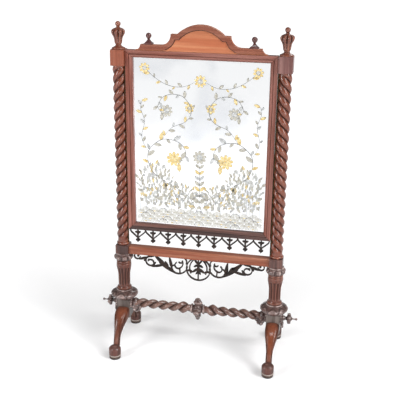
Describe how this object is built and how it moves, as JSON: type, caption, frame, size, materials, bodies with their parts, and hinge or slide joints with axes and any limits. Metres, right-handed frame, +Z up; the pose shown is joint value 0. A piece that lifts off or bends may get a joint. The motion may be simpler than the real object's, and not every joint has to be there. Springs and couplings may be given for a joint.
{
  "type": "fire screen",
  "caption": "Cheval fire screen: a mirror panel with arched crest slides up between rope-twist posts, on a trestle base with cabriole legs, twisted stretcher and scroll frets.",
  "frame": {"origin": "on the floor, midway between the posts and midway between the front and rear feet", "axes": "+Z up, the front with the mirror faces -Y, +X to the right seen from the front"},
  "size_m": [0.6804, 0.2946, 1.1076],
  "materials": {
    "mahogany": "satin",
    "mahogany_dark": "satin",
    "mahogany_light": "satin",
    "foot_pad": "matte",
    "fret_black": "satin",
    "brass": "satin",
    "mirror": "polished",
    "pine": "matte"
  },
  "bodies": {
    "stand": {"left_front_leg": "mahogany", "left_front_pad": "foot_pad", "left_rear_leg": "mahogany", "left_rear_pad": "foot_pad", "left_base_block": "mahogany_dark", "left_bulb": "mahogany_dark", "left_collar": "mahogany_dark", "left_baluster": "mahogany", "left_post": "mahogany", "left_finial": "mahogany", "left_outer_bracket": "mahogany_dark", "left_inner_bracket": "mahogany_dark", "left_end_knob": "mahogany_dark", "left_stretcher": "mahogany", "right_front_leg": "mahogany", "right_front_pad": "foot_pad", "right_rear_leg": "mahogany", "right_rear_pad": "foot_pad", "right_base_block": "mahogany_dark", "right_bulb": "mahogany_dark", "right_collar": "mahogany_dark", "right_baluster": "mahogany", "right_post": "mahogany", "right_finial": "mahogany", "right_outer_bracket": "mahogany_dark", "right_inner_bracket": "mahogany_dark", "right_end_knob": "mahogany_dark", "right_stretcher": "mahogany", "centre_boss": "mahogany_dark", "lower_rail": "mahogany_light", "scroll_fret": "fret_black"},
    "panel": {"left_stile": "mahogany", "right_stile": "mahogany", "top_rail": "mahogany", "bottom_rail": "mahogany", "left_tongue": "brass", "right_tongue": "brass", "mirror_plate": "mirror", "backboard": "pine", "turn_buttons": "brass", "crest_board": "mahogany_light", "crest_moulding": "mahogany", "left_crest_ball": "mahogany_dark", "right_crest_ball": "mahogany_dark", "drop_fret": "fret_black"}
  },
  "joints": [
    {"name": "panel_slide", "type": "slide", "parent": "stand", "child": "panel", "axis": [0, 0, 1], "range_m": [0, 0.3]}
  ]
}
